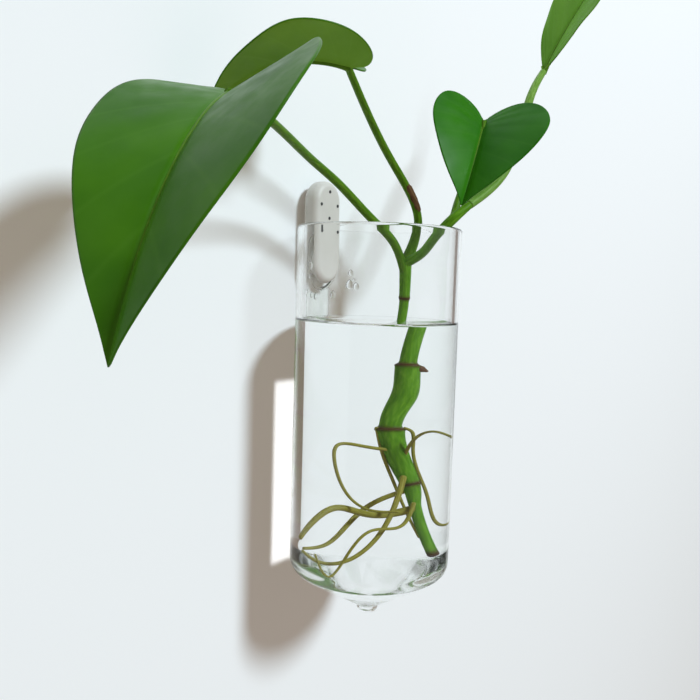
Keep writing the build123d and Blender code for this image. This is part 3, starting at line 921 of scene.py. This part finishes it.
def make_drops(material):
    """Water left on the glass: drops round the hole, and a bead in its lip."""
    balls = np.stack([drop_ball(*drop) for drop in DROPS])
    starts = DROP_RINGS * DROP_CELLS * np.arange(len(DROPS))
    quads = grid_faces(DROP_RINGS, DROP_CELLS, wrap=True)[None] + starts[:, None, None]
    bead, bead_quads = lip_bead()
    points = np.concatenate([balls.reshape(-1, 3), bead])
    quads = np.concatenate([quads.reshape(-1, 4), bead_quads + balls.size // 3])
    piece = make_piece("water_drops", points, quads, [material])
    return dress(piece, "vase", "glass")


# The cutting


def leaf_height(leaf, x, y):
    """Height of a blade over its base plane: a folded, cupped section turned about the arch's axis."""
    top = ARCH_TOP * leaf["length"]
    drop = math.sqrt(leaf["arch"] ** 2 - top ** 2)
    left, right = (math.tan(math.radians(fold)) for fold in leaf["folds"])
    rise = np.abs(x) * np.where(x < 0, left, right) - x ** 2 / (2 * leaf["cup"])
    return np.sqrt((leaf["arch"] + rise) ** 2 - (y - top) ** 2) - drop


def leaf_axes(leaf):
    """Across, tip and face directions of a blade."""
    tip = np.array(leaf["tip"]) / np.linalg.norm(leaf["tip"])
    across = np.cross(tip, leaf["face"])
    across /= np.linalg.norm(across)
    return np.stack([across, tip, np.cross(across, tip)])


def blade_relief(leaf, x, share, across, vein):
    """Height added to a blade: a groove along the midrib, swellings between veins, a waved margin.

    The groove fades as e to the minus square of the distance from the midrib. The swellings are squared
    sines of the vein's number and end at the tip. The wave grows with the fourth power of the share of
    the half width.
    """
    out = np.abs(across)
    groove = GROOVE_D * np.exp(-(x / GROOVE_W) ** 2)
    swell = SWELL * np.sin(np.pi * vein) ** 2 * np.sin(np.pi * out) * (1 - share ** 6)
    wave = np.sin(MARGIN_WAVES * share + MARGIN_SHIFT * across) * np.sin(np.pi * share)
    return swell - groove + leaf["wave"] * out ** 4 * wave


def make_leaf(name, leaf, materials):
    """A blade as a grid: rows follow the side veins, columns run from margin to margin.

    Each row joins a point of the midrib to a point of the margin and sags towards the base between
    them. The midrib's points lie at the length times the third power of the share of the rows.
    """
    outline = np.array(leaf["outline"]) * (leaf["width"], leaf["length"])
    margin, _ = spline(outline, leaf["length"] / BLADE_ROWS)
    share = np.linspace(0, 1, len(margin))[:, None]
    across = np.linspace(-1, 1, BLADE_COLUMNS)[None, :]
    out = np.abs(across)
    foot = leaf["length"] * share ** 3
    x = across * margin[:, :1]
    y = foot + out * (margin[:, 1:] - foot) - VEIN_SAG * out * (1 - out) * margin[:, :1]
    vein = VEINS * share ** VEIN_SPREAD + 0 * out
    z = leaf_height(leaf, x, y) + blade_relief(leaf, x, share, across, vein)
    points = np.stack([x, y, z], axis=-1).reshape(-1, 3) @ leaf_axes(leaf) + leaf["base"]
    marks = {"vein": vein.ravel(), "from_rib": np.abs(x).ravel()}
    piece = make_piece(name, points, grid_faces(len(margin), across.size), materials, marks, closed=False)
    thicken(piece, BLADE_T, -1.0).material_offset = 1
    return dress(piece, "cutting", "leaf_green", name)


def make_midrib(name, leaf, material):
    """The midrib: a tapering half-sunk cord under the blade, from the stalk to near the tip."""
    y = np.linspace(-MIDRIB_BEFORE, MIDRIB_REACH * leaf["length"], MIDRIB_RINGS)
    z = leaf_height(leaf, np.zeros_like(y), y) - MIDRIB_SUNK
    path = np.stack([0 * y, y, z], axis=1) @ leaf_axes(leaf) + leaf["base"]
    radius = np.interp(y / leaf["length"], MIDRIB_AT, MIDRIB_R)
    points, quads, grain = sweep(path, radius, MIDRIB_SIDES)
    marks = {"grain": grain, "scar": np.zeros(len(grain))}
    piece = make_piece(name + "_midrib", points, quads, [material], marks)
    return dress(piece, "cutting", "leaf_green")


def make_stalk(name, course, material, slot, node, rings=None, round_tip=False, step=STALK_STEP,
               cut=0.0):
    """A round stalk along a spline, its radius running from one given value to the next.

    A pair of radii is a step from one to the other. Rings are scars: narrow swellings that fade as e
    to the minus square of the distance from them. A cut end is brown over the given length, and a
    round tip is a half ball.
    """
    path, stations = spline([spot for spot, _ in course], step)
    length = path_lengths(path)
    sizes = np.array([np.broadcast_to(size, 2) for _, size in course])
    spots = np.stack([stations - NODE_STEP, stations + NODE_STEP], axis=1)
    radius = np.interp(length, spots.ravel(), sizes.ravel())
    scar = np.zeros_like(length)
    for index, swell in (rings or {}).items():
        away = length - stations[index]
        radius = radius + swell * np.exp(-(away / RING_W) ** 2)
        scar = np.maximum(scar, np.exp(-(away / SCAR_W) ** 2))
    left = length[-1] - length
    if cut:
        scar = np.maximum(scar, np.exp(-(left / cut) ** 4))
    if round_tip:
        from_ball = 1 - np.minimum(left / radius, 1)
        radius = radius * np.sqrt(np.clip(1 - from_ball ** 2, TIP_LEAST, 1))
    points, quads, grain = sweep(path, radius)
    scar = np.repeat(np.concatenate([scar[:1], scar, scar[-1:]]), points.shape[1])
    piece = make_piece(name, points, quads, [material], {"grain": grain, "scar": scar})
    return dress(piece, "cutting", slot, *([node] if node else []))


def make_sheath(material):
    """The wing beside the young leaf's stalk: half a lens whose straight side lies in the stalk.

    Its width runs as the sine of the share of its length, and it curls as the square of the width.
    """
    start = np.array(SHOOT_END)
    run = (np.array(SHEATH_END) - start) * SHEATH_RUN
    up = np.cross(SHEATH_FACE, run)
    up /= np.linalg.norm(up)
    face = np.cross(run, up) / np.linalg.norm(run)
    share = np.linspace(0, 1, SHEATH_ROWS)[:, None, None]
    out = np.linspace(0, 1, SHEATH_COLUMNS)[None, :, None]
    width = SHEATH_W * np.sin(np.pi * share ** SHEATH_FORM) ** SHEATH_FORM
    points = start + share * run + width * out * up + SHEATH_CURL * width * out ** 2 * face
    fibres = (out[..., 0], 0 * out[..., 0], SHEATH_GRAIN * share[..., 0])
    grain = np.stack(np.broadcast_arrays(*fibres), axis=-1).reshape(-1, 3)
    marks = {"grain": grain, "scar": np.zeros(len(grain))}
    quads = grid_faces(SHEATH_ROWS, SHEATH_COLUMNS)
    piece = make_piece("sheath_green", points, quads, [material], marks, closed=False)
    thicken(piece, SHEATH_T, 0.0)
    return dress(piece, "cutting", "stem_green", "sheath_green")


def make_dry_sheath(material):
    """The dried sheath: a tube along the top stalk that stands out of it on one side.

    Its radius is less than the stalk's, plus a rise where it covers the stalk. The cover is the cosine
    of the turn from the side it faces, less a margin that grows to both ends and is frayed by a sine.
    """
    path, stations = spline([spot for spot, _ in STALKS["petiole_top"]], DRY_STEP)
    length = path_lengths(path)
    middle = stations[1] + DRY_SHEATH_AT * (stations[2] - stations[1])
    path = path[np.abs(length - middle) < DRY_SHEATH_L / 2]
    turn = np.linspace(0, 2 * np.pi, DRY_CELLS, endpoint=False)[None, :]
    share = np.linspace(-1, 1, len(path))[:, None]
    frays = np.sin(DRY_FRAYS_ALONG * share + DRY_FRAYS_ROUND * turn)
    frayed = DRY_FRAY * frays - DRY_POINT * share ** 2
    cover = np.clip(np.cos(turn - DRY_SHEATH_TURN) - DRY_NARROW + frayed, 0, DRY_COVER)
    points, quads, grain = sweep(path, DRY_SHEATH_R + DRY_SHEATH_RISE * cover, DRY_CELLS)
    marks = {"grain": grain, "scar": np.zeros(len(grain))}
    piece = make_piece("sheath_dry", points, quads, [material], marks)
    return dress(piece, "cutting", "dry_husk", "sheath_dry")


def make_roots(material):
    """The water roots, thinner towards their round tips. Fine roots stand for no CAD node."""
    for name, (radius, spots) in {**ROOTS, **FINE_ROOTS}.items():
        shares = np.linspace(ROOT_THICK, ROOT_THIN, len(spots))
        course = [(spot, radius * share) for spot, share in zip(spots, shares)]
        node = name if name in ROOTS else None
        make_stalk(name, course, material, "root_pale", node, round_tip=True, step=ROOT_STEP)


def make_cutting():
    """Leaves, stalks, stem and roots. Returns the blades by name, and the stalks."""
    skins = {name: leaf_finish(name, *shades) for name, shades in LEAF_SHADES.items()}
    barks = {name: stalk_finish(name, *shades) for name, shades in STALK_SHADES.items()}
    blades = {}
    for name, leaf in LEAVES.items():
        blades[name] = make_leaf(name, leaf, [skins[leaf["upper"]], skins["leaf_under_painted_glow"]])
        make_midrib(name, leaf, barks["stalk"])
    stalks = []
    for name, course in STALKS.items():
        bark = barks[STALK_FINISH.get(name, "stalk")]
        stalks.append(make_stalk(name, course, bark, "stem_green", name))
    make_stalk("main_stem", MAIN_STEM, barks["stem"], "stem_green", "main_stem", STEM_RINGS,
               round_tip=True, step=STEM_STEP, cut=CUT_BROWN)
    make_sheath(barks["stalk_young"])
    make_dry_sheath(barks["husk"])
    bud = [(NODE_TOP + share * BUD_REACH, radius) for share, radius in BUD]
    make_stalk("root_bud", bud, barks["husk"], "dry_husk", "root_bud", round_tip=True, step=BUD_STEP)
    make_roots(barks["root"])
    return blades, stalks


def dress_mount():
    """Finishes of the CAD nodes that stay as they are."""
    finishes = {"adhesive_pad": adhesive(), "mount_plate": clear_plate(), "hook_peg": peg_plastic(),
                "spine_dots": dot_ink()}
    for name, material in finishes.items():
        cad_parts[name].data.materials.clear()
        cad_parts[name].data.materials.append(material)


# Stage, light and camera


def make_stage():
    """The wall behind the vase."""
    corners = STAGE_HALF * np.array([(-1, 0, -1), (1, 0, -1), (1, 0, 1), (-1, 0, 1)])
    corners += (0, STAGE_GAP, 0)
    wall = make_piece("stage_wall", corners, np.array([[0, 1, 2, 3]]), [wall_finish()], closed=False)
    return [wall]


def link_lamp(key, role, objects, state):
    """Include or exclude objects as receivers or blockers of a lamp's light."""
    group = bpy.data.collections.new(key.name + "_" + role)
    for thing in objects:
        group.objects.link(thing)
    for entry in group.collection_objects:
        entry.light_linking.link_state = state
    setattr(key.light_linking, role + "_collection", group)


def lamp_direction():
    """Direction from the vase towards the key lamp."""
    flat = math.cos(KEY_HEIGHT)
    return np.array([math.sin(KEY_SIDE) * flat, -math.cos(KEY_SIDE) * flat, math.sin(KEY_HEIGHT)])


def key_lamp(name, share=1.0):
    """A soft lamp from the front, high and a little to the right, with a share of the key's power."""
    toward = lamp_direction()
    lamp = bpy.data.lights.new(name, "AREA")
    lamp.shape = "DISK"
    lamp.size = KEY_WIDTH * MM
    lamp.energy = KEY_POWER * share
    lamp.color = KEY_COLOUR
    key = bpy.data.objects.new(name, lamp)
    key.visible_transmission = False
    aim = Vector((0, AXIS_Y * MM, 0))
    key.location = aim + Vector(toward * KEY_DISTANCE * MM)
    key.rotation_mode = "QUATERNION"
    key.rotation_quaternion = Vector(toward).to_track_quat("Z", "Y")
    bpy.context.scene.collection.objects.link(key)
    return key


def focus_lamp(stage):
    """The bright stripe that the column of water throws on the wall: a beam with hardly any spread."""
    lamp = bpy.data.lights.new("focus", "AREA")
    lamp.shape = "RECTANGLE"
    lamp.size = STRIPE_W * MM
    lamp.size_y = STRIPE_H * MM
    lamp.spread = STRIPE_SPREAD
    lamp.energy = STRIPE_POWER
    beam = bpy.data.objects.new("focus", lamp)
    beam.location = Vector(STRIPE_AT) * MM - Vector((0, STRIPE_BACK * MM, 0))
    beam.rotation_euler = (math.radians(90), 0, 0)
    for kind in ("visible_camera", "visible_glossy", "visible_transmission"):
        setattr(beam, kind, False)
    bpy.context.scene.collection.objects.link(beam)
    link_lamp(beam, "receiver", stage, "INCLUDE")
    link_lamp(beam, "blocker", stage, "INCLUDE")


def light_key(stage, hollow, water, near_lamp, thin):
    """The key lamp in shares.

    On the stage most of it goes through the hollow glass and plate and a little is stopped by them,
    while water stops all of it. On the part it goes through all three, which take none of it
    themselves. The leaves nearest the lamp shade nothing, and the thin stalks shade only the stage.
    Clear pieces don't dim the even light.
    """
    clear = hollow + water
    for piece in clear:
        piece.visible_diffuse = False
    stopped = key_lamp("key_stopped", GLASS_SHADE)
    passing = key_lamp("key_passing", 1 - GLASS_SHADE)
    for lamp, open_pieces in ((stopped, near_lamp), (passing, near_lamp + hollow)):
        lamp.visible_glossy = False
        link_lamp(lamp, "receiver", stage, "INCLUDE")
        link_lamp(lamp, "blocker", open_pieces, "EXCLUDE")
    part_key = key_lamp("key_part")
    link_lamp(part_key, "receiver", stage + clear, "EXCLUDE")
    link_lamp(part_key, "blocker", clear + near_lamp + thin, "EXCLUDE")
    focus_lamp(stage)


def make_room():
    """The even light of a room, by the kind of ray that leaves the scene.

    Gloss mirrors dark walls and a pale floor. The camera, also through glass, sees the backdrop, or
    the room in front where light was mirrored inside the glass, or the room's far right side.
    """
    world = bpy.data.worlds.new("room")
    world.use_nodes = True
    bpy.context.scene.world = world
    tree = world.node_tree
    ray = tree.nodes.new("ShaderNodeLightPath").outputs
    through = math_node(tree, "SUBTRACT", ray["Is Transmission Ray"], ray["Diffuse Depth"])
    seen = math_node(tree, "MAXIMUM", ray["Is Camera Ray"], through)
    place = tree.nodes.new("ShaderNodeTexCoord").outputs["Generated"]
    direction = tree.nodes.new("ShaderNodeSeparateXYZ")
    tree.links.new(place, direction.inputs[0])
    far = math_node(tree, "MULTIPLY", through, fade(tree, direction.outputs[0], *FAR_FADE))
    low = fade(tree, math_node(tree, "MULTIPLY", direction.outputs[2], -1.0), *FLOOR_FADE)
    mirrored = blend_colour(tree, low, ROOM_MIRRORED, FLOOR_MIRRORED)
    front = tree.nodes.new("ShaderNodeVectorMath")
    front.operation = "DOT_PRODUCT"
    front.inputs[1].default_value = ROOM_FRONT
    tree.links.new(place, front.inputs[0])
    returned = math_node(tree, "MULTIPLY", math_node(tree, "MINIMUM", ray["Glossy Depth"], 1.0),
                         fade(tree, front.outputs["Value"], *FRONT_FADE))
    behind = blend_colour(tree, returned, BACKDROP, ROOM_RETURNED)
    colour = blend_colour(tree, ray["Is Glossy Ray"], ROOM_LIGHT, mirrored)
    colour = blend_colour(tree, seen, colour, behind)
    colour = blend_colour(tree, far, colour, FAR_SIDE)
    tree.links.new(colour, tree.nodes["Background"].inputs["Color"])


def place_camera():
    """The camera at the photograph's place: heading, pitch and roll turn it in that order."""
    right = np.array([math.cos(HEADING), -math.sin(HEADING), 0])
    level_ahead = np.array([math.sin(HEADING), math.cos(HEADING), 0])
    ahead = math.cos(PITCH) * level_ahead - np.array([0, 0, math.sin(PITCH)])
    up = np.cross(right, ahead)
    level = right * math.cos(ROLL) + up * math.sin(ROLL)
    upright = up * math.cos(ROLL) - right * math.sin(ROLL)
    data = bpy.data.cameras.new("camera")
    data.sensor_width = SENSOR_W
    data.lens = SENSOR_W * FOCAL_PX / IMAGE_PX
    data.clip_start = NEAR_CLIP * MM
    camera = bpy.data.objects.new("camera", data)
    turn = Matrix(np.stack([level, upright, -ahead], axis=1).tolist())
    camera.matrix_world = Matrix.Translation(Vector(np.array(CAMERA_AT) * MM)) @ turn.to_4x4()
    bpy.context.scene.collection.objects.link(camera)
    bpy.context.scene.camera = camera


bpy.context.scene.view_settings.view_transform = "Standard"
bpy.context.scene.cycles.max_bounces = LIGHT_BOUNCES
bpy.context.scene.cycles.transmission_bounces = LIGHT_BOUNCES
bpy.context.scene.cycles.glossy_bounces = LIGHT_BOUNCES
place_camera()
dress_mount()
glass = make_glass()
drops = make_drops(water_finish("drops", DROP_MIRROR))
hollow_pieces = [glass, drops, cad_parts["mount_plate"]]
water_pieces = [make_water(water_finish("water", WATER_MIRROR))]
leaf_blades, thin_stalks = make_cutting()
near_leaves = [leaf_blades["leaf_right"], leaf_blades["leaf_young"]]
light_key(make_stage(), hollow_pieces, water_pieces, near_leaves, thin_stalks)
make_room()

bpy.context.view_layer.update()
